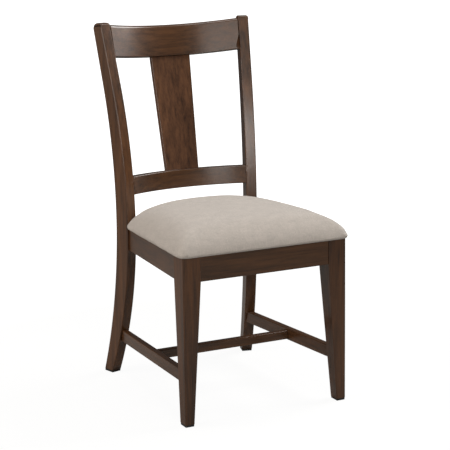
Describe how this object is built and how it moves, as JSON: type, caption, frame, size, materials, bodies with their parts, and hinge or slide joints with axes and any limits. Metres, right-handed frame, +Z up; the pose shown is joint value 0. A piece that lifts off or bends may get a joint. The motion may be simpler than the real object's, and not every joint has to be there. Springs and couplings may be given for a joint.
{
  "type": "splat back dining chair",
  "caption": "Wooden dining chair with a curved crest rail, a tapered back splat, swept rear legs, tapered front legs, an H stretcher and a crowned cloth seat.",
  "frame": {"origin": "on the floor, under the middle of the chair's width and depth", "axes": "+X to the chair's right as it is seen from the front, +Y from the front legs to the back, +Z up"},
  "size_m": [0.5032, 0.636, 1.016],
  "materials": {
    "stained_wood": "satin",
    "splat_wood": "satin",
    "bare_wood": "matte",
    "plywood": "matte",
    "steel": "satin",
    "foam": "matte",
    "linen": "matte",
    "lining": "matte",
    "glide": "satin"
  },
  "bodies": {
    "root": {"rear_leg_left": "stained_wood", "rear_leg_right": "stained_wood", "front_leg_left": "stained_wood", "front_leg_right": "stained_wood", "crest_rail": "stained_wood", "back_rail": "stained_wood", "front_apron": "stained_wood", "rear_apron": "stained_wood", "side_apron_left": "stained_wood", "side_apron_right": "stained_wood", "side_stretcher_left": "stained_wood", "side_stretcher_right": "stained_wood", "centre_stretcher": "stained_wood", "splat": "splat_wood", "corner_block_front_left": "bare_wood", "corner_block_front_right": "bare_wood", "corner_block_rear_left": "bare_wood", "corner_block_rear_right": "bare_wood", "apron_dowels": "bare_wood", "corner_block_screws": "steel", "seat_screws": "steel", "seat_board": "plywood", "seat_foam": "foam", "seat_cover": "linen", "dust_cover": "lining", "glide_front_left": "glide", "glide_front_right": "glide", "glide_rear_left": "glide", "glide_rear_right": "glide"}
  },
  "joints": []
}
